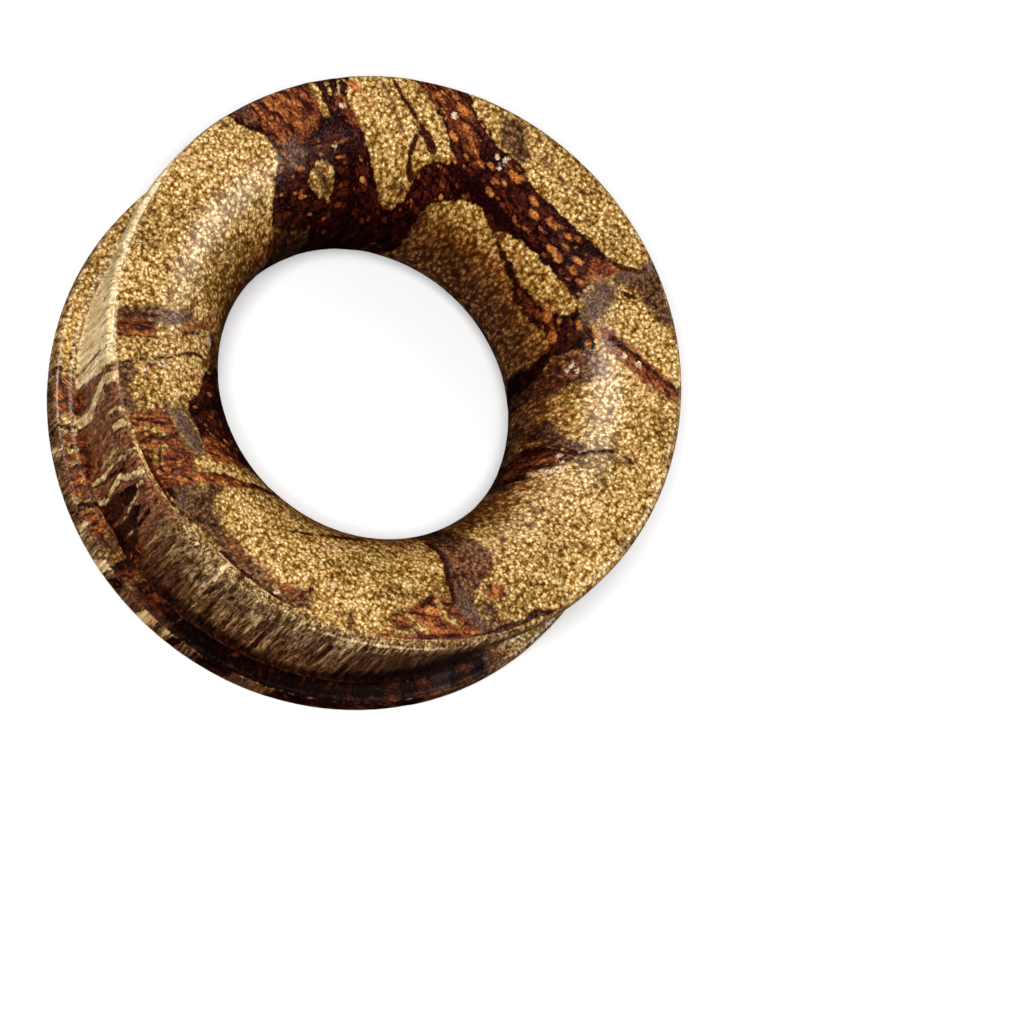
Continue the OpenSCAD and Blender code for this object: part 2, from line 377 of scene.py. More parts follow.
PLAN["orange"] = [
    stroke((-13.5, 3.7, 0.1), (-10.8, 3.5, 0.1)),
    *flecks((-12.45, 4.95, 0.22), (-12.35, 4.55, 0.2), (-12.6, 4.2, 0.2), (-11.85, 5.25, 0.17),
            (-11.9, 5.75, 0.15), (-11, 4.6, 0.2), (-10.8, 5, 0.15), (-11.3, 4.9, 0.15), (-12.9, 4.5, 0.15),
            (-9.45, 3.35, 0.2), (-10.5, 3.15, 0.15)),
    *flecks((-7, 11.3, 0.2), (-6.3, 11.15, 0.3), (-7.55, 10.75, 0.2), (-5.6, 10.6, 0.2), (-6.9, 10.4, 0.15),
            (-5.7, 9.9, 0.25), (-4.5, 10.2, 0.15), (-2.4, 10.75, 0.3), (-2.1, 11, 0.12), (-4.8, 10.3, 0.18),
            (-3.9, 10, 0.2), (-3.5, 10.3, 0.2), (-2.5, 10.2, 0.15), (-1, 10.65, 0.25), (-0.55, 10.25, 0.25),
            (1.3, 10.65, 0.2), (1.55, 10.25, 0.18), (2.4, 10.2, 0.22), (1.7, 9.65, 0.2), (2.5, 9.75, 0.2),
            (3.2, 9.6, 0.2), (-2.7, 9.5, 0.22), (-4.6, 9.7, 0.15), (-4.9, 9.2, 0.15)),
    stroke((0.1, 10.5, 0.15), (0.6, 10.5, 0.15)),
    stroke((1, 9.75, 0.15), (1.4, 9.75, 0.15)),
    stroke((-0.5, 9.6, 0.08), (-0.1, 9.6, 0.08)),
    *flecks((10.75, -4.45, 0.25), (10.95, -4.8, 0.16), (10.6, -4.85, 0.12)),
    *flecks((5.5, 8.4, 0.25), (4.55, 8.25, 0.2), (3.2, 7.85, 0.28), (3.8, 7.9, 0.15), (4.1, 7.3, 0.25),
            (5.5, 7.85, 0.2), (-10.5, 8, 0.3), (6.5, 11.1, 0.1)),
    stroke((7, 8.72, 0.07), (9, 8.7, 0.06), (10.3, 8.95, 0.06)),
    *flecks((-3.3, -9.5, 0.17), (-3.1, -9.8, 0.14), (-2.7, -9.5, 0.17), (-2.9, -9.1, 0.12),
            (-2.6, -8.8, 0.14), (-2, -9, 0.14), (-2, -9.6, 0.13), (-1.4, -9.1, 0.13), (-2.3, -11.3, 0.26),
            (-1.9, -10.7, 0.15), (-1.4, -10.4, 0.2), (-1, -9.75, 0.17), (-0.6, -9.3, 0.13),
            (-2.8, -11.9, 0.2), (-3.6, -12.1, 0.18), (-3.1, -12.8, 0.14)),
    stroke((-5.6, -11.4, 0.08), (-5.3, -10.9, 0.1), (-4.8, -10.9, 0.08)),
    stroke((-5.4, -12.4, 0.1), (-4.6, -11.6, 0.1)),
    stroke((-5.5, -12.1, 0.06), (-4.9, -11.5, 0.06)),
    stroke((-9.4, -8.9, 0.06), (-9, -8.4, 0.1), (-8.6, -7.9, 0.08)),
    *flecks((9.4, -7.5, 0.3), (9.7, -8.1, 0.25), (10.2, -8, 0.25), (10.6, -7.6, 0.2)),
]
PLAN["pale"] = [
    stroke((-9.7, 1.5, 0.05), (-9.1, 1, 0.06), (-8.6, 0.7, 0.06), (-8.1, 0.4, 0.05)),
    stroke((-11.6, 7.9, 0.05), (-11.2, 7.6, 0.08), (-10.7, 7.1, 0.05)),
    stroke((-6.9, 12, 0.05), (-6.6, 12.1, 0.1), (-6.2, 11.9, 0.05)),
]
PLAN["crumb"] = spots((-9.1, 5.3, 0.09), (-10.2, 6.9, 0.1), (-6.35, 10.6, 0.11), (-3.6, 10.8, 0.1),
                      (-3.25, 10.95, 0.08), (-3.2, 10.5, 0.09), (7.8, 8.67, 0.1), (7.1, 8.45, 0.09),
                      (5.75, 6.5, 0.09), (5.7, 6.8, 0.08), (6.05, 6.7, 0.08), (8.3, 3.17, 0.11),
                      (8.62, 2.95, 0.09), (8.85, 2.6, 0.1), (8.62, 2.35, 0.08), (8.4, 2.15, 0.1),
                      (8.2, 1.95, 0.08), (8.02, 1.8, 0.11), (3.9, -12.4, 0.08), (4.5, -12.7, 0.08),
                      (-7.1, -8.5, 0.1), (-7.35, -8.7, 0.1), (-7.6, -9.45, 0.12), (-7.25, -8.45, 0.08),
                      (-5.1, -12.7, 0.1), (-6.5, -5.5, 0.09), (-6.75, -5.35, 0.08))

# Charts of the outside: degrees round the ring, height in millimetres, half width in millimetres
ARC_MM = math.radians(1) * groove_r
TOP = height + 0.1


def on_wall(points):
    """Points whose first value is in degrees, with millimetres round the groove in its place."""
    return [(p[0] * ARC_MM, *p[1:]) for p in points]


def wall_area(*points):
    return area(*on_wall(points))


def wall_line(*points):
    return stroke(*on_wall(points))


def wall_spots(*points):
    return spots(*on_wall(points))


def bands(low_z, high_z, *ranges):
    """Areas between two heights, each leaning a little to one side."""
    lean = 1.2
    return [wall_area((a - lean, low_z), (b - lean, low_z), (b + lean, high_z), (a + lean, high_z))
            for a, b in ranges]


# The wall of the groove and the upper flange's edge
WALL = {name: [] for name in PLAN}
# Pale wood, partly a painted highlight: the left side from the seam to -130 degrees, up to and over the rim,
# and the short lines by the rim between -122 and -113 degrees stand in for the sheen on the rim
WALL["pale"] = [
    wall_area((-195, 1), (-139.9, 1), (-140.4, 4), (-140.8, 7), (-140, 8.8), (-134.2, 9.2), (-134.2, TOP),
              (-195, TOP)),
    wall_area((-139.4, 1), (-136.9, 1), (-136.5, 3), (-136, 4.5), (-134.8, 6), (-134.2, 7), (-133, 8.8),
              (-130.8, 9.2), (-130.4, TOP), (-133.9, TOP), (-136, 8.8), (-139.9, 7), (-139.6, 4)),
    wall_line((-127.6, TOP, 0.22), (-128.6, 9.4, 0.2), (-131.8, 7.6, 0.14), (-132.8, 5.8, 0.2),
              (-131, 4.8, 0.26), (-128.8, 3.6, 0.28), (-129.4, 1, 0.22)),
    wall_line((-121.6, 10.6, 0.15), (-122, 9.4, 0.1), (-120.6, 7.1, 0.16), (-121, 6.4, 0.08)),
    wall_line((-118.4, 10.6, 0.2), (-118.8, 9.4, 0.12)),
    wall_line((-115.7, 6.9, 0.08), (-116, 5, 0.06), (-115.5, 3.4, 0.09), (-116, 1, 0.08)),
    wall_line((-113, TOP, 0.08), (-112.8, 9.4, 0.06)),
    wall_line((-108.6, 10.6, 0.13), (-109.2, 9.2, 0.1), (-109.8, 7.2, 0.1), (-111.4, 6.3, 0.14),
              (-112.9, 5.2, 0.14), (-112.2, 4, 0.12), (-111.3, 3, 0.1), (-112, 1, 0.08)),
    wall_line((-106.6, 10.4, 0.06), (-107.4, 7.2, 0.07), (-107, 5.5, 0.06), (-105.8, 4, 0.05),
              (-105.4, 3, 0.04)),
    wall_line((-102.7, 3.9, 0.03), (-102.3, 2.4, 0.04)),
    wall_line((-83.8, TOP, 0.1), (-83.6, 7.6, 0.1), (-83.8, 5.4, 0.05)),
    wall_line((-70.6, 10, 0.04), (-70.4, 6, 0.04), (-70.6, 3.4, 0.03)),
    wall_line((-51.3, 7.4, 0.06), (-51, 5, 0.05)),
    wall_line((-64, 10.5, 0.04), (-50, 10.55, 0.07), (-36, 10.5, 0.06)),
]
WALL["dark"] = [
    *bands(1, 6.6, (-115.2, -114.2)),
    wall_area((-111.4, 1), (-110.8, 4), (-109.4, 6.2), (-108.2, 7.4), (-107.4, 7), (-106.8, 4.6),
              (-106, 1)),
    wall_area((-105.4, 1), (-106, 5.4), (-105, 6.2), (-103.2, 4.4), (-101.4, 3.8), (-99.4, 3.4),
              (-97.6, 2.2), (-97, 1)),
    wall_line((-103.4, 7.6, 0.05), (-103, 5.8, 0.1), (-102, 4, 0.1)),
]
WALL["vein"] = [
    wall_line((-130, TOP, 0.05), (-130.2, 9.3, 0.05)),
    wall_line((-79.9, TOP, 0.1), (-80, 6, 0.08), (-79.6, 3, 0.1)),
    wall_line((-70, 10.6, 0.06), (-69, 8, 0.07), (-69.6, 3, 0.06)),
    wall_line((-68, 10.6, 0.08), (-67, 7.6, 0.1), (-67.5, 5, 0.1), (-67, 2.8, 0.1)),
    wall_line((-61.5, 7.5, 0.02), (-62, 3, 0.03)),
    wall_line((-57.8, TOP, 0.08), (-58, 9.3, 0.06), (-58.6, 5, 0.02)),
    wall_line((-54.2, 7.4, 0.06), (-54.4, 6, 0.14), (-54.5, 4.4, 0.12), (-54.6, 2.8, 0.03)),
    wall_line((-51.6, TOP, 0.05), (-51.8, 9.2, 0.03)),
    wall_line((-47.9, 7.8, 0.06), (-48.2, 4.6, 0.04)),
]
WALL["brown"] = [
    wall_line((-140, 9, 0.03), (-140.6, 7, 0.06), (-140, 4, 0.07), (-139.6, 1, 0.07)),
    wall_line((-134, TOP, 0.04), (-134, 9.3, 0.04)),
    wall_line((-125.6, TOP, 0.2), (-126, 9.3, 0.2), (-124, 7, 0.3)),
    *bands(1, 10, (-129.6, -118.5), (-116.5, -98), (-48, -18)),
    *bands(1, 5, (-98, -86)),
    *bands(9.1, TOP, (-126.5, -122.2), (-121, -119), (-117.6, -113.6), (-112.6, -109.6), (-107.6, -97)),
    *bands(5, 10, (-96.5, -94), (-90.5, -88.5)),
    wall_line((-57, 6, 0.05), (-56.4, 3, 0.05)),
    wall_line((-64, 6, 0.04), (-63.6, 3, 0.04)),
]
WALL["rust"] = [
    wall_area((-136.3, 1), (-130.9, 1), (-130.4, 3.3), (-132.4, 4.2), (-134.1, 5.2), (-133.3, 6.6),
              (-132.3, 7.2), (-134, 7), (-135, 5.8), (-136.1, 4.4)),
    wall_area((-128.6, 1), (-116.6, 1), (-117, 3.6), (-121, 4.4), (-127.4, 4.2)),
    wall_line((-146, 9.25, 0.1), (-143, 9.3, 0.22), (-139.5, 9.2, 0.2)),
    wall_line((-99.4, 4.4, 0.1), (-98.6, 3, 0.22), (-98.4, 1, 0.2)),
]
WALL["orange"] = [
    wall_line((-113.2, 7.1, 0.12), (-113.6, 6.1, 0.08)),
    wall_line((-134.4, 6.6, 0.05), (-135.6, 4.6, 0.05)),
]

# The lower flange: height up its edge as far as the bend, then inwards across its ledge
FOOT_BEND = 1.5
LEDGE = flange_t + 0.15
FOOT = {name: [] for name in PLAN}
FOOT["pale"] = [
    *bands(-1, 1.5, (-102.8, -100.2), (-90, -86.5)),
    wall_line((-125.2, 0, 0.1), (-125, 1.5, 0.06)),
    wall_line((-109, 0, 0.08), (-109.2, 1.6, 0.08)),
    wall_line((-83, 0, 0.08), (-82.8, 1.4, 0.08)),
    wall_line((-77.6, 0, 0.03), (-77.6, 1.2, 0.03)),
    *wall_spots((-130, 2.7, 0.16), (-31.6, 2.4, 0.1)),
]
# Dark wood; the wide bands across the ledge from -93 to -14 degrees are painted shade
FOOT["dark"] = [
    *bands(1.5, 4, (-140.6, -139.8), (-128.8, -127.8), (-124.8, -123.8), (-120.4, -119.6), (-112.3, -110.8),
           (-98.8, -94.6), (-82, -26), (-22, -14)),
    *bands(1.95, 4, (-92.6, -82)),
    *bands(-1, 1.5, (-98.4, -96), (-82.5, -80.5), (-76, -69), (-60, -30)),
]
FOOT["vein"] = [
    *wall_spots((-173, 2.3, 0.05), (-167.6, 2.1, 0.07), (-163.5, 2.3, 0.05), (-160.6, 2.3, 0.07),
                (-155.5, 2.4, 0.08), (-152.8, 2.3, 0.06), (-149.2, 2.6, 0.12), (-146.4, 2.2, 0.07),
                (-143.7, 2.2, 0.05), (-158, 1.9, 0.04)),
    wall_line((-140.3, 0, 0.05), (-140.4, 1.5, 0.08)),
    wall_line((-79, 0, 0.05), (-79, 1.5, 0.05)),
    wall_line((-136, 2, 0.1), (-134, 2.2, 0.1)),
]
FOOT["brown"] = [
    *bands(-1, 1.5, (-139.6, -126.4), (-124.2, -110), (-99.4, -90.6), (-81, -52), (-36, -14)),
    *bands(1.5, 4, (-119.6, -112.6), (-104.6, -102), (-38, -14)),
    *bands(1.5, 1.9, (-92, -74)),
]
FOOT["rust"] = bands(1.5, 4, (-139, -130.6), (-126.8, -125.2), (-123, -121), (-119, -113.6),
                     (-110.6, -104.8), (-96.5, -94.6), (-92, -85), (-36, -33), (-29, -26), (-20, -17))
FOOT["orange"] = wall_spots((-133.4, 2, 0.16), (-131.8, 2.2, 0.14), (-125.4, 2, 0.15), (-122.6, 2.3, 0.16),
                            (-121, 1.9, 0.14), (-117.6, 2.2, 0.2), (-115, 1.9, 0.16), (-107, 2.1, 0.16),
                            (-96, 1.8, 0.14), (-91.8, 2.1, 0.12), (-88.6, 2.2, 0.18), (-86.4, 1.9, 0.18),
                            (-72, 1.8, 0.06), (-64, 2, 0.06), (-57.5, 1.8, 0.06), (-34, 2, 0.1))

LAYERS = tuple(PLAN)

# Redder patches of the face: x, y, strength, radius
RUDDY = ((5.4, 6.6, 0.7, 2), (9.4, -4, 0.45, 2.2))

# Degrees round the ring run from a seam at the left for a full turn. The outside has charts of its own
# between the first four soft limits, and redder wood between the other four.
SEAM = -195
CHARTED = (-188, -182, -14, -4)
KNOTS = (-133, -128, -106, -92)

# Where the outside begins on the upper face: it wraps a little over the rim at the front, and at the left it
# brings pale wood that is partly a painted highlight onto the rim's rounding
RIM_ANGLE = (-195, -176, -168, -100, -94, -65, -40, -15)
RIM_START = (13.75, 13.72, 13.5, 13.45, 13.1, 13.35, 13.4, 13.75)

# Top of the painted near-black shade at the foot of the wall, and the strength of the painted shade in the
# bore below its upper mouth
FOOT_ANGLE = (-112, -98, -75, -60, -42, -20)
FOOT_TOP = (1.8, 2.3, 3.0, 2.4, 2.9, 4.4)
BORE_SHADE = 0.62

# How far the marks lie below the surface, and how uneven the turned surface is
DARK_SINK = 0.02
VEIN_SINK = 0.03
UNEVEN = 0.02

# Small holes in the polished surface: x, y, radius, depth
PITS = [
    (-3.2, 10.75, 0.16, 0.2), (9.03, 3, 0.16, 0.2), (5.6, -7.5, 0.13, 0.12), (6.53, -9.45, 0.12, 0.12),
    (-9.1, -9.6, 0.15, 0.2), (-6.95, -8.2, 0.14, 0.22), (-7.75, -9.55, 0.12, 0.1), (10.3, -4.1, 0.1, 0.1),
]
CRACK = ((-7, -8.05, 0.12), (-7.3, -8.35, 0.16), (-7.75, -8.8, 0.1))
CRACK_DEPTH = 0.2


def wobble(px, py, z):
    """The place in the plan chart that a point shows: the figure drifts sideways on its way down."""
    depth = np.clip(upper_z(np.hypot(px, py)) - z, 0, None)
    size = np.minimum(depth * 0.16, 0.9)
    dx = np.sin(0.9 * z + 0.5 * px + 0.3) + 0.5 * np.sin(1.9 * z + 0.8 * py)
    dy = np.cos(0.7 * z + 0.4 * py + 1.1) + 0.5 * np.sin(1.6 * z - 0.7 * px)
    return px + size * dx, py + size * dy


def flow_coordinates(px, py):
    """Coordinates turned so that the first runs along the local band, and 1 away from where they change."""
    centres = np.array([(x, y) for x, y, _ in FLOW])
    distance = np.hypot(px[:, None] - centres[:, 0], py[:, None] - centres[:, 1])
    angle = np.radians(np.array([a for _, _, a in FLOW]))[np.argmin(distance, axis=1)]
    nearest = np.partition(distance, 1, axis=1)
    whole = smooth(nearest[:, 1] - nearest[:, 0], 0.15, 0.5)
    return px * np.cos(angle) + py * np.sin(angle), py * np.cos(angle) - px * np.sin(angle), whole


def side_share(z, r, angle):
    """1 on the outside of the ring, 0 on its faces and in the bore."""
    start = np.interp(angle, RIM_ANGLE, RIM_START)
    on_rim = smooth(r, start - 0.05, start + 0.05)
    on_side = np.where(z > height - 0.3, on_rim, smooth(r, groove_r - 0.3, groove_r - 0.05))
    return on_side * smooth(z, 0.05, 0.4)


def chart_fields(x, y, z, r, turn):
    """Each layer's field on every point, from the plan chart and, outside, from the charts of the outside."""
    px, py = wobble(x, y, z)
    angle = (np.degrees(turn) - SEAM) % 360 + SEAM
    along = angle * ARC_MM
    up_foot = np.where(r > flange_r - 0.05, np.minimum(z, FOOT_BEND), FOOT_BEND + flange_r - r)
    on_side = side_share(z, r, angle)
    lean = 2 * np.sin(1.1 * z) + np.sin(2.9 * z + 1)
    charted = on_side * between(angle + lean, CHARTED)
    edge = charted * (z < LEDGE)
    wall = charted * (z >= LEDGE)
    fields = {}
    for name in LAYERS:
        plan = chart_field(px, py, PLAN[name])
        if name == "crumb":
            plan = np.where(z < height - bell_r, -FIELD_LIMIT, plan)
        side = chart_field(along, z, WALL[name])
        foot = chart_field(along, up_foot, FOOT[name])
        fields[name] = plan + wall * (side - plan) + edge * (foot - plan)
    u, v, fields["whole"] = flow_coordinates(px, py)
    fields["flow"] = np.stack([u, v, z], 1)
    fields["outside"] = wall + edge
    fields.update(tint_fields(px, py, z, r, angle, on_side, wall, edge))
    return fields


def tint_fields(px, py, z, r, angle, on_side, wall, edge):
    """Where the wood is redder, where it shows upright fibres, and how much shade is painted on it."""
    knots = between(angle, KNOTS)
    ruddy = wall * knots
    for x, y, strength, radius in RUDDY:
        spot = strength * (1 - smooth(np.hypot(px - x, py - y), 0.4 * radius, radius))
        ruddy = np.maximum(ruddy, spot)
    foot_side = np.where(r < flange_r - lip_round, 0, smooth(angle, -150, -138))
    # Painted shade in the bore, darker towards its throat
    bore_shade = BORE_SHADE * (1 - smooth(z, 7.2, 10.2))
    return {
        "knots": ruddy,
        "side": on_side * np.where(z > LEDGE, 1 - 0.5 * knots, foot_side),
        "deep": np.where(r < groove_r - 0.4, bore_shade, (wall + edge) * outside_shade(angle, z)),
    }


def outside_shade(angle, z):
    """Painted shade on the outside: near-black at the foot of the wall and on the ledge, browner to the
    right.
    """
    foot = np.interp(angle, FOOT_ANGLE, FOOT_TOP)
    wall = np.maximum(1 - smooth(z, foot - 0.7, foot + 1.3), 0.12 + 0.34 * (1 - smooth(z, 3, 7.5)))
    ledge = np.where(z > flange_t - 0.1, 0.85, 0.35)
    from_left = smooth(angle, -112, -86)
    to_right = 0.42 * smooth(angle, -62, -34) * (1 - 0.6 * smooth(z, 9, 10))
    return np.maximum(from_left * np.where(z > LEDGE, wall * (1 - 0.75 * smooth(z, 9, 9.4)), ledge), to_right)


def relief(x, y, z, fields):
    """How far each point sinks below the turned surface, in millimetres."""
    above = smooth(z, height - bell_r, height - bell_r + 0.5) * (1 - fields["outside"])
    sink = DARK_SINK * smooth(fields["dark"], -0.1, 0.2) + VEIN_SINK * smooth(fields["vein"], -0.05, 0.08)
    for px, py, radius, depth in PITS:
        sink = sink + above * depth * (1 - smooth(np.hypot(x - px, y - py), radius * 0.3, radius * 1.2))
    sink = sink + above * CRACK_DEPTH * smooth(stroke_field(x, y, CRACK), -0.05, 0.08)
    soft = 0.5 + 0.25 * np.sin(0.45 * x + 1.0) + 0.25 * np.sin(0.5 * y + 0.4 * z)
    return sink + UNEVEN * soft


def turned_points(rows):
    """The mesh's points in metres, row by row round the ring, and the fields on them."""
    r = np.repeat(rows[:, 0], N_ROUND)
    z = np.repeat(rows[:, 1], N_ROUND)
    turn = np.tile(2 * np.pi * np.arange(N_ROUND) / N_ROUND, len(rows))
    x, y = r * np.cos(turn), r * np.sin(turn)
    fields = chart_fields(x, y, z, r, turn)
    sink = relief(x, y, z, fields)
    ahead = np.roll(rows, -1, axis=0) - np.roll(rows, 1, axis=0)
    normal = np.stack([-ahead[:, 1], ahead[:, 0]], 1)
    normal /= np.linalg.norm(normal, axis=1)[:, None]
    r2 = r - np.repeat(normal[:, 0], N_ROUND) * sink
    z2 = z - np.repeat(normal[:, 1], N_ROUND) * sink
    return np.stack([r2 * np.cos(turn), r2 * np.sin(turn), z2], 1) * MM, fields


def build_ring():
    rows = profile()
    points, fields = turned_points(rows)
    index = np.arange(len(rows) * N_ROUND).reshape(len(rows), N_ROUND)
    up = np.roll(index, -1, axis=0)
    faces = np.stack([index, up, np.roll(up, -1, axis=1), np.roll(index, -1, axis=1)], -1).reshape(-1, 4)

    mesh = bpy.data.meshes.new("tunnel_wood")
    mesh.from_pydata(points.tolist(), [], faces.tolist())
    mesh.shade_smooth()
    for name, values in fields.items():
        kind, key = ("FLOAT_VECTOR", "vector") if values.ndim == 2 else ("FLOAT", "value")
        attribute = mesh.attributes.new(name, kind, "POINT")
        attribute.data.foreach_set(key, values.astype(np.float32).ravel())
    made = bpy.data.objects.new("tunnel_wood", mesh)
    bpy.context.scene.collection.objects.link(made)
    return made


def srgb(red, green, blue):
    """A colour given as 0 to 255 display values."""
    def linear(c):
        c = c / 255
        return c / 12.92 if c <= 0.04045 else ((c + 0.055) / 1.055) ** 2.4
    return (linear(red), linear(green), linear(blue), 1)


class Graph:
    """Short names for the shader nodes that the wood needs."""

    def __init__(self, material):
        material.use_nodes = True
        self.tree = material.node_tree
        self.tree.nodes.clear()

    def node(self, kind, inputs, **settings):
        """The outputs of a new node, whose inputs are given by name or number as values or as outputs."""
        made = self.tree.nodes.new("ShaderNode" + kind)
        for name, value in settings.items():
            setattr(made, name, value)
        for key, value in inputs.items():
            if isinstance(value, bpy.types.NodeSocket):
                self.tree.links.new(value, made.inputs[key])
            else:
                made.inputs[key].default_value = value
        return made.outputs

    def math(self, operation, a, b=0.0, c=0.0):
        return self.node("Math", {0: a, 1: b, 2: c}, operation=operation)[0]

    def times(self, a, b):
        return self.math("MULTIPLY", a, b)

    def field(self, name):
        return self.node("Attribute", {}, attribute_name=name)["Fac"]

    def scaled(self, vector, scale):
        return self.node("VectorMath", {0: vector, 1: scale}, operation="MULTIPLY")[0]

    def noise(self, vector, scale, detail, roughness):
        return self.node("TexNoise", {"Vector": vector, "Scale": scale, "Detail": detail,
                                      "Roughness": roughness})

    def centred(self, vector, scale, detail):
        """Noise about zero."""
        return self.math("SUBTRACT", self.noise(vector, scale, detail, 0.6)["Fac"], 0.5)

    def bend(self, vector, scale, amount):
        """The place moved about by coloured noise, so that what is laid out on it loses its regularity."""
        moved = self.noise(vector, scale, 1.0, 0.5)["Color"]
        inputs = {0: moved, 1: (amount, amount, amount), 2: vector}
        return self.node("VectorMath", inputs, operation="MULTIPLY_ADD")[0]

    def cells(self, vector, scale):
        """The distance to the nearest cell's middle, and three random values that belong to that cell."""
        outputs = self.node("TexVoronoi", {"Vector": vector, "Scale": scale})
        return outputs["Distance"], self.node("SeparateColor", {0: outputs["Color"]})

    def cell_edge(self, vector, scale):
        """The distance to the edge of the cell."""
        inputs = {"Vector": vector, "Scale": scale}
        return self.node("TexVoronoi", inputs, feature="DISTANCE_TO_EDGE")["Distance"]

    def total(self, start, *terms):
        """A starting value plus each (amount, value) of the terms."""
        value = start
        for amount, term in terms:
            value = self.math("MULTIPLY_ADD", term, amount, value)
        return value

    def step(self, value, start, end):
        """0 at the start and 1 at the end, whichever of the two is larger."""
        inputs = {"Value": value, "From Min": start, "From Max": end}
        return self.node("MapRange", inputs, interpolation_type="SMOOTHSTEP")["Result"]

    def ramp(self, value, *stops):
        """Display colours by value, each stop a place and a colour."""
        made = self.tree.nodes.new("ShaderNodeValToRGB")
        elements = made.color_ramp.elements
        while len(elements) < len(stops):
            elements.new(0.5)
        for element, (place, colour) in zip(elements, stops):
            element.position = place
            element.color = srgb(*colour)
        self.tree.links.new(value, made.inputs["Fac"])
        return made.outputs["Color"]

    def mix(self, share, a, b, blend="MIX"):
        return self.node("Mix", {"Factor": share, 6: a, 7: b}, data_type="RGBA", blend_type=blend)[2]


def wood_patterns(g):
    """Noise of several sizes, each about zero, cells, and the fields that tint the wood."""
    place = g.scaled(g.node("TexCoord", {})["Object"], (1 / MM, 1 / MM, 1 / MM))
    flow = g.node("Attribute", {}, attribute_name="flow")["Vector"]
    along_grain = g.scaled(place, (1, 1, 0.35))
    whole = g.field("whole")
    p = SimpleNamespace(whole=whole, deep=g.field("deep"), side=g.field("side"), knots=g.field("knots"))
    p.speck = g.centred(along_grain, 13.0, 0.5)
    p.grain = g.centred(along_grain, 7.5, 1.0)
    p.clump = g.centred(along_grain, 3.2, 2.0)
    p.patch = g.centred(along_grain, 1.3, 3.0)
    p.drift = g.centred(along_grain, 0.45, 2.0)
    p.cells = g.cells(g.bend(along_grain, 3.0, 0.2), 5.0)[0]
    p.fibre = g.centred(g.scaled(place, (1, 1, 0.07)), 6.0, 2.0)
    p.hair = g.centred(g.scaled(place, (1, 1, 0.12)), 13.0, 1.0)
    p.streak = g.times(whole, g.centred(g.scaled(flow, (0.3, 1, 0.2)), 3.5, 2.0))
    p.along_band = g.scaled(flow, (0.6, 1, 0.4))
    return p


def face_colours(g, p):
    """Golden ground of the faces: pale cells and brown gaps, browner or greener in drifting patches."""
    tone = g.total(0.88, (0.9, p.grain), (0.75, p.speck), (-0.95, p.cells), (0.4, p.clump), (0.4, p.patch),
                   (0.4, p.drift))
    # Painted shade darkens the tone
    tone = g.math("MULTIPLY_ADD", p.deep, -0.3, tone)
    gold = g.ramp(tone, (0.0, (78, 42, 8)), (0.25, (128, 88, 32)), (0.42, (166, 128, 64)),
                  (0.6, (200, 166, 104)), (0.8, (232, 206, 150)), (1.0, (252, 238, 206)))
    warm = g.ramp(tone, (0.0, (64, 26, 6)), (0.3, (118, 70, 26)), (0.55, (164, 118, 64)),
                  (1.0, (228, 194, 144)))
    olive = g.ramp(tone, (0.0, (56, 34, 6)), (0.3, (114, 82, 30)), (0.55, (166, 132, 72)),
                   (1.0, (236, 214, 160)))
    in_warm = g.step(g.total(0.5, (0.7, p.drift), (1.0, p.patch), (0.4, p.clump)), 0.56, 0.76)
    in_olive = g.step(g.total(0.5, (-1.0, p.drift), (0.8, p.clump)), 0.48, 0.72)
    gold = g.mix(in_warm, gold, warm)
    return tone, g.mix(in_olive, gold, olive)


def outside_colours(g, p, tone, gold):
    """The tone and the ground all round: the outside shows the grain from the side, as upright fibres."""
    fibre_tone = g.total(0.5, (1.9, p.fibre), (1.2, p.hair), (0.6, p.grain), (0.6, p.speck), (0.4, p.patch))
    upright = g.ramp(fibre_tone, (0.0, (32, 16, 5)), (0.3, (80, 53, 27)), (0.55, (126, 96, 59)),
                     (0.8, (172, 141, 95)), (1.0, (216, 192, 144)))
    ground = g.mix(p.side, gold, upright)
    return g.math("MULTIPLY_ADD", p.side, g.math("SUBTRACT", fibre_tone, tone), tone), ground


def soft_marks(g, p, tone, gold):
    """Brown, pale and grey wood, the first two of them redder and duller in the knots."""
    brown = g.ramp(tone, (0.0, (28, 10, 4)), (0.45, (80, 49, 26)), (1.0, (148, 108, 66)))
    ruddy = g.ramp(tone, (0.0, (38, 10, 4)), (0.45, (104, 56, 32)), (1.0, (184, 128, 88)))
    pale = g.ramp(g.total(0.08, (0.9, tone)), (0.0, (140, 98, 50)), (0.35, (194, 160, 104)),
                  (0.7, (234, 210, 160)), (1.0, (252, 240, 212)))
    grey = g.ramp(g.total(0.5, (0.8, p.grain), (0.6, p.speck), (0.6, p.clump)), (0.0, (34, 18, 12)),
                  (0.45, (74, 50, 38)), (0.7, (108, 82, 66)), (1.0, (166, 136, 106)))
    return g.mix(p.knots, brown, ruddy), g.mix(g.times(p.knots, 0.5), pale, gold), grey


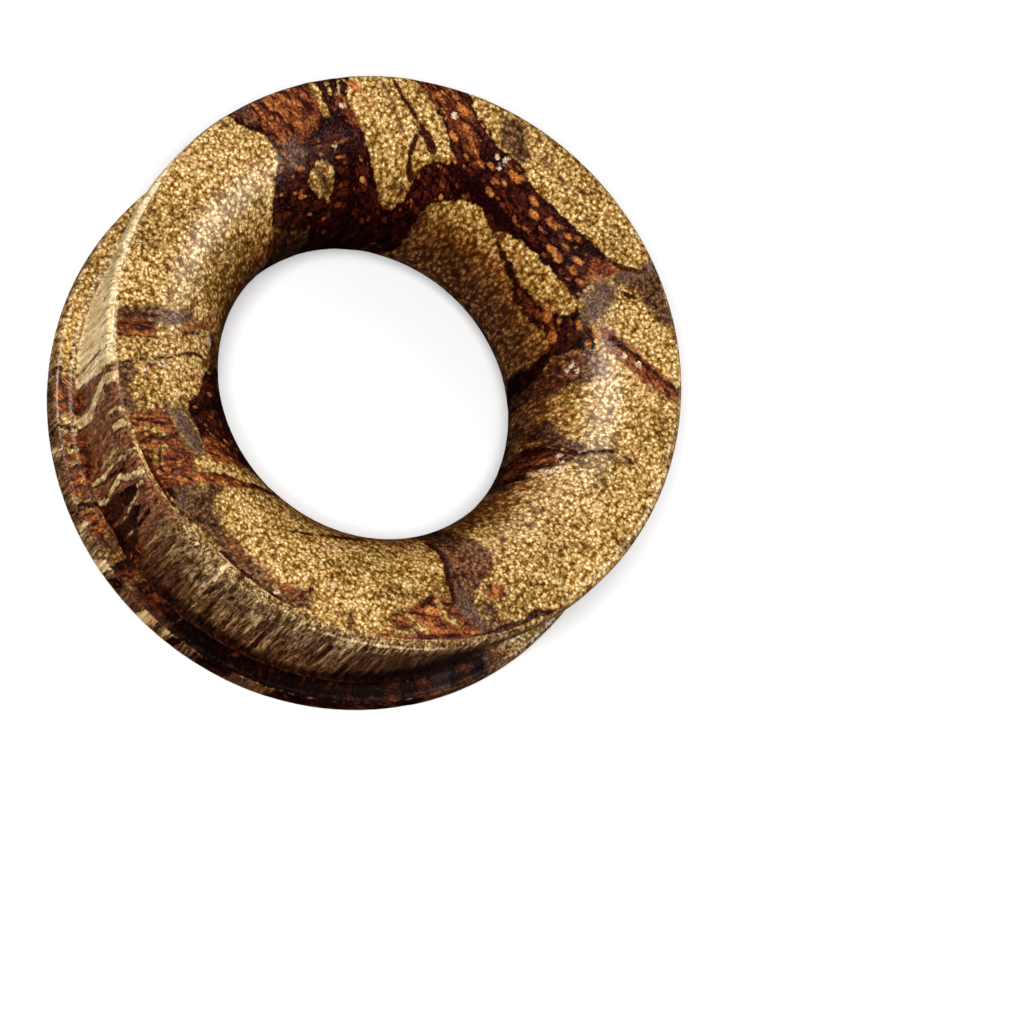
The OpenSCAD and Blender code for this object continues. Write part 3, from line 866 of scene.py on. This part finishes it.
def dark_marks(g, p):
    """Near-black red wood with rusty cells drawn out along the band, and rusty wood with more of them."""
    base_tone = g.total(0.38, (1.5, p.streak), (0.9, p.grain), (0.5, p.patch), (0.4, p.speck))
    dark = g.ramp(base_tone, (0.0, (8, 0, 0)), (0.4, (22, 2, 3)), (0.7, (48, 10, 6)), (1.0, (84, 34, 16)))
    rust = g.ramp(base_tone, (0.0, (26, 4, 2)), (0.35, (78, 30, 12)), (0.65, (134, 72, 32)),
                  (1.0, (190, 132, 74)))

    # Small faint cells, tiles with a dark net between them, and fewer bright cells
    cell_place = g.bend(p.along_band, 2.5, 0.25)
    near, kind = g.cells(cell_place, 4.4)
    near_small, kind_small = g.cells(g.bend(p.along_band, 3.0, 0.2), 8.0)
    fleck = g.ramp(g.total(kind[1], (0.9, p.grain)), (0.1, (66, 20, 8)), (0.4, (100, 46, 22)),
                   (0.7, (144, 78, 34)), (1.0, (196, 128, 66)))
    # Fewer bright cells where shade is painted, and in the knots
    lit = g.total(1.0, (-0.8, p.deep), (-0.8, p.knots))
    cell = g.times(p.whole, g.step(near, 0.56, 0.34))
    small_cell = g.times(p.whole, g.step(near_small, 0.6, 0.35))
    small = g.times(small_cell, g.step(kind_small[0], 0.3, 0.9))
    inner = g.times(lit, g.times(p.whole, g.step(g.cell_edge(cell_place, 4.4), 0.05, 0.17)))
    tile = g.times(inner, g.step(kind[2], 0.4, 0.85))
    few = g.step(g.total(kind[0], (1.2, p.patch), (-0.4, p.streak)), 0.45, 0.95)
    many = g.times(cell, g.step(kind[0], 0.0, 0.5))
    dark = g.mix(g.times(small, 0.4), dark, srgb(84, 32, 18))
    dark = g.mix(g.times(tile, 0.7), dark, srgb(82, 30, 14))
    dark = g.mix(g.times(g.times(cell, lit), few), dark, fleck)

    # A darker line along the edge of the band, and dark streaks in the rust
    outline = g.step(g.math("ABSOLUTE", g.math("ADD", g.field("dark"), -0.04)), 0.14, 0.04)
    dark = g.mix(g.times(outline, 0.75), dark, srgb(22, 2, 2))
    rust = g.mix(g.times(many, 0.8), rust, fleck)
    return dark, g.mix(g.step(p.streak, -0.03, -0.13), rust, srgb(40, 10, 4))


def small_marks(g, p, brown):
    """Orange flecks, veins and pale crumbs."""
    orange = g.ramp(g.total(0.5, (1.2, p.grain), (0.7, p.speck)), (0.2, (104, 44, 14)), (0.5, (160, 90, 36)),
                    (0.9, (212, 152, 82)))
    vein = g.ramp(g.total(0.3, (1.2, p.grain), (0.8, p.speck)), (0.0, (20, 2, 0)), (0.5, (58, 22, 8)),
                  (1.0, (118, 66, 34)))
    crumb = g.ramp(g.total(0.5, (1.5, p.grain), (1.0, p.speck)), (0.2, (120, 84, 56)),
                   (0.6, (206, 180, 146)), (1.0, (240, 226, 206)))
    return orange, g.mix(g.times(p.side, 0.35), vein, brown), crumb


# Each layer's edge: how ragged it is, and the values of the field where it begins and where it is full
EDGES = {
    "brown": (1.0, -0.16, 0.16),
    "dark": (0.6, -0.05, 0.05),
    "rust": (0.8, -0.14, 0.14),
    "pale": (0.4, -0.05, 0.06),
    "grey": (0.8, -0.2, 0.24),
    "vein": (0.5, -0.06, 0.04),
    "orange": (0.12, -0.02, 0.12),
    "crumb": (0.35, -0.08, 0.01),
}


def layer_covers(g, p):
    """How far each layer covers what lies under it. The same noise shakes every field before it is cut."""
    shake = g.total(0.0, (0.35, p.grain), (0.6, p.clump), (0.6, p.patch))
    covers = {}
    for name, (ragged, start, end) in EDGES.items():
        covers[name] = g.step(g.math("MULTIPLY_ADD", shake, ragged, g.field(name)), start, end)
    return covers


def wood_colours(g, p, covers):
    """The tone of the grain, and the colour with all the layers laid on in their order."""
    tone, gold = face_colours(g, p)
    tone, ground = outside_colours(g, p, tone, gold)
    brown, pale, grey = soft_marks(g, p, tone, gold)
    dark, rust = dark_marks(g, p)
    orange, vein, crumb = small_marks(g, p, brown)
    colour = g.mix(covers["brown"], ground, brown)
    colour = g.mix(covers["dark"], colour, dark)
    colour = g.mix(covers["rust"], colour, rust)
    border = g.times(p.knots, g.step(g.math("ADD", g.field("pale"), 0.02), -0.16, -0.02))
    colour = g.mix(g.times(border, 0.7), colour, srgb(64, 28, 12))
    colour = g.mix(covers["pale"], colour, pale)
    colour = g.mix(covers["grey"], colour, grey)
    colour = g.mix(covers["vein"], colour, vein)
    colour = g.mix(covers["orange"], colour, orange)
    colour = g.mix(covers["crumb"], colour, crumb)
    # Painted shade, multiplied over all the colours
    shade_colour = g.ramp(p.deep, (0.0, (255, 255, 255)), (0.5, (203, 169, 139)), (1.0, (84, 46, 30)))
    return tone, g.mix(1.0, colour, shade_colour, blend="MULTIPLY")


def wood_material():
    """Satin polish over the colours: the darker and the greyer marks shine less than the gold."""
    material = bpy.data.materials.new("figured_wood")
    g = Graph(material)
    p = wood_patterns(g)
    covers = layer_covers(g, p)
    tone, colour = wood_colours(g, p, covers)
    height_noise = g.total(0.5, (1.0, p.grain), (0.5, p.speck), (-0.3, p.cells))
    bump = g.node("Bump", {"Strength": 0.35, "Distance": 0.03 * MM, "Height": height_noise})
    shine = g.total(0.25, (0.3, g.step(tone, 0.3, 0.7)), (-0.15, covers["dark"]), (-0.15, covers["grey"]),
                    (-0.2, covers["vein"]))
    shader = g.node("BsdfPrincipled", {
        "Base Color": colour,
        "Roughness": g.total(0.28, (0.3, p.grain), (0.3, p.deep)),
        "Normal": bump[0],
        "Specular IOR Level": shine,
        "Specular Tint": (1.0, 0.92, 0.8, 1),
    })
    g.node("OutputMaterial", {"Surface": shader[0]})
    return material


ring = build_ring()
ring.data.materials.append(wood_material())
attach(ring, "root")
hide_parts("tunnel")

# Floor: a pale square, half as wide as this in metres, and a hair below the ring's face
FLOOR = 1.5
BELOW_RING = 0.02 * MM
floor_mesh = bpy.data.meshes.new("floor")
floor_mesh.from_pydata([(-FLOOR, -FLOOR, 0), (FLOOR, -FLOOR, 0), (FLOOR, FLOOR, 0), (-FLOOR, FLOOR, 0)], [],
                       [(0, 1, 2, 3)])
floor = bpy.data.objects.new("floor", floor_mesh)
floor.location.z = -BELOW_RING
bpy.context.scene.collection.objects.link(floor)
floor_material = bpy.data.materials.new("floor")
floor_material.use_nodes = True
floor_shader = floor_material.node_tree.nodes["Principled BSDF"]
floor_shader.inputs["Base Color"].default_value = (0.94, 0.94, 0.94, 1)
floor_shader.inputs["Roughness"].default_value = 0.9
floor_mesh.materials.append(floor_material)

ring_centre = Vector((0, 0, height / 2 * MM))


def softbox(name, direction, distance, size, power, in_gloss):
    """A square light that faces the ring, in metres and watts, seen either in the gloss or as fill."""
    data = bpy.data.lights.new(name, "AREA")
    data.size = size
    data.energy = power
    lamp = bpy.data.objects.new(name, data)
    towards = Vector(direction).normalized()
    lamp.location = ring_centre + towards * distance
    lamp.rotation_euler = towards.to_track_quat("Z", "Y").to_euler()
    lamp.visible_glossy = in_gloss
    lamp.visible_diffuse = not in_gloss
    bpy.context.scene.collection.objects.link(lamp)


softbox("light_left", (-0.75, 0.42, 0.5), 0.45, 0.3, 0.4, in_gloss=False)
softbox("light_right", (0.55, 0.45, 0.7), 0.45, 0.3, 0.35, in_gloss=False)
softbox("light_back", (-0.25, 0.4, 0.88), 0.5, 0.3, 0.5, in_gloss=False)
softbox("light_front", (0, -0.408, 0.913), 0.5, 0.14, 2.8, in_gloss=False)
softbox("gloss_bell", (-0.6, -0.06, 0.8), 0.45, 0.2, 1.7, in_gloss=True)
softbox("gloss_right", (0.54, 0.5, 0.68), 0.45, 0.2, 1.3, in_gloss=True)
softbox("gloss_left", (-0.75, 0.3, 0.2), 0.45, 0.3, 0.5, in_gloss=True)

# The floor and the world fill the shadows but stay out of the gloss, which would wash out the dark wood
floor.visible_glossy = False
world = bpy.data.worlds.new("studio")
world.use_nodes = True
world.node_tree.nodes["Background"].inputs["Color"].default_value = (1, 1, 1, 1)
world.node_tree.nodes["Background"].inputs["Strength"].default_value = 0.15
bpy.context.scene.world = world
world.cycles_visibility.glossy = False
bpy.context.scene.view_settings.view_transform = "Standard"

# Camera: the photograph's direction and roll, with the ring where it stands in the picture. The picture's
# width and the ring's middle are in pixels, the sensor's width and the camera's distance in millimetres.
PICTURE = 1024
RING_PIXEL = (363.7, 393.45)
PIXELS_PER_MM = 21.659
SENSOR = 36.0
DISTANCE = 823.0
right = Vector((0.6913, 0.6597, 0.2950))
up = Vector((-0.7226, 0.6311, 0.2822))
back = right.cross(up).normalized()
up = back.cross(right).normalized()
right = up.cross(back).normalized()
aside = (PICTURE / 2 - RING_PIXEL[0]) / PIXELS_PER_MM * MM
above = (RING_PIXEL[1] - PICTURE / 2) / PIXELS_PER_MM * MM
camera_data = bpy.data.cameras.new("camera")
camera_data.sensor_width = SENSOR
camera_data.lens = PIXELS_PER_MM * DISTANCE / PICTURE * SENSOR
camera_data.clip_start = 0.01
camera = bpy.data.objects.new("camera", camera_data)
turned = Matrix((right, up, back)).transposed().to_4x4()
camera_place = ring_centre + right * aside + up * above + back * DISTANCE * MM
camera.matrix_world = Matrix.Translation(camera_place) @ turned
bpy.context.scene.collection.objects.link(camera)
bpy.context.scene.camera = camera
